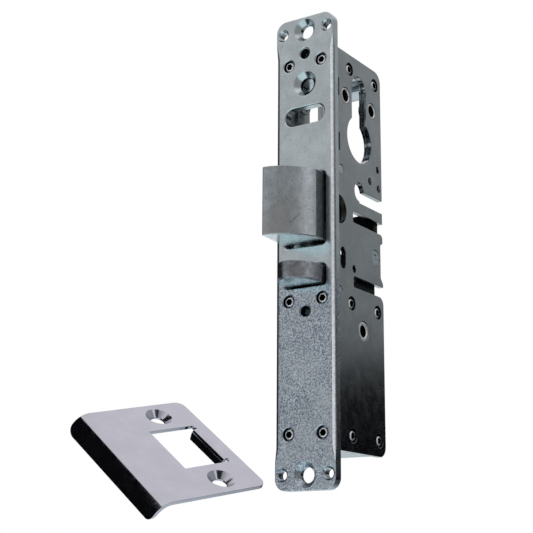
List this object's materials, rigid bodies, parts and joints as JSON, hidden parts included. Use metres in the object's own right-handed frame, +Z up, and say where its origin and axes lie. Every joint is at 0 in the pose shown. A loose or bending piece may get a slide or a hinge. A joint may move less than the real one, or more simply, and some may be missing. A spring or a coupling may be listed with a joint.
{
  "type": "mortise deadlatch",
  "caption": "Narrow mortise deadlatch with a bevelled latch bolt, an auxiliary deadlocking bolt, a profile cylinder cut-out and a separate lipped strike plate.",
  "frame": {"origin": "centre of the faceplate's back face, midway between its two fixing holes", "axes": "+Z up along the faceplate, +Y into the door behind the faceplate, +X to the right when the faceplate is looked at from the front"},
  "size_m": [0.134, 0.0816, 0.1784],
  "materials": {
    "zinc_plating": "bright zinc plating on steel",
    "dull_zinc_plating": "satin zinc plating on steel",
    "satin_zinc_casting": "satin, finely pitted",
    "dark_sintered_steel": "grainy, dark grey",
    "bright_steel": "bright turned steel",
    "black_steel": "black oxide",
    "brass": "dull brass",
    "spring_steel": "oiled spring wire",
    "polished_stainless": "polished stainless steel"
  },
  "bodies": {
    "case": {"faceplate": "zinc_plating", "side_plate_right": "dull_zinc_plating", "side_plate_left": "dull_zinc_plating", "cylinder_guide_right": "dull_zinc_plating", "cylinder_guide_left": "dull_zinc_plating", "spacer_top": "zinc_plating", "spacer_middle": "zinc_plating", "spacer_rear": "zinc_plating", "spacer_bottom": "zinc_plating", "faceplate_screws": "bright_steel", "side_screws_right": "bright_steel", "side_screws_left": "bright_steel", "furniture_bushes_right": "brass", "furniture_bushes_left": "brass", "latch_guide_studs": "bright_steel", "lever_pivot_bush": "bright_steel", "lever_spacers": "dull_zinc_plating", "aux_guide_pin": "bright_steel", "latch_spring_seat": "black_steel", "latch_spring_rod": "bright_steel", "latch_spring": "spring_steel", "aux_spring_seat": "black_steel", "aux_spring_rod": "bright_steel", "aux_spring": "spring_steel", "deadlock_pivot": "bright_steel", "deadlock_clip": "black_steel"},
    "latch": {"latch_bolt": "satin_zinc_casting", "latch_pin": "bright_steel", "latch_buttons": "brass"},
    "retractor": {"retractor_lever": "black_steel"},
    "trigger": {"aux_bolt": "dark_sintered_steel", "aux_tail": "dull_zinc_plating"},
    "deadlock": {"deadlock_plate_outer": "black_steel", "deadlock_plate_inner": "black_steel", "deadlock_pin": "bright_steel", "deadlock_spacer": "bright_steel"},
    "strike": {"strike_plate": "polished_stainless"}
  },
  "joints": [
    {"name": "latch_slide", "type": "slide", "parent": "case", "child": "latch", "axis": [0, 1, 0], "range_m": [0, 0.016], "stiffness_N_per_m": 150, "springref_m": -0.008, "deforming": ["latch_spring"]},
    {"name": "retractor_hinge", "type": "hinge", "parent": "case", "child": "retractor", "pos_m": [0, 0.019, -0.0289], "axis": [1, 0, 0], "range_deg": [-18.77, 0]},
    {"name": "aux_slide", "type": "slide", "parent": "case", "child": "trigger", "axis": [0, 1, 0], "range_m": [0, 0.0105], "stiffness_N_per_m": 100, "springref_m": -0.006, "deforming": ["aux_spring"]},
    {"name": "deadlock_hinge", "type": "hinge", "parent": "case", "child": "deadlock", "pos_m": [0, 0.0285, -0.0003], "axis": [1, 0, 0], "range_deg": [-26, 0]},
    {"name": "strike_lift", "type": "slide", "parent": "case", "child": "strike", "axis": [-1, 0, 0], "range_m": [0, 0.02]}
  ],
  "couplings": [
    {"joint": "retractor_hinge", "follows": "latch_slide", "rad_per_m": -20.475},
    {"joint": "deadlock_hinge", "follows": "aux_slide", "rad_per_m": -43.218}
  ]
}
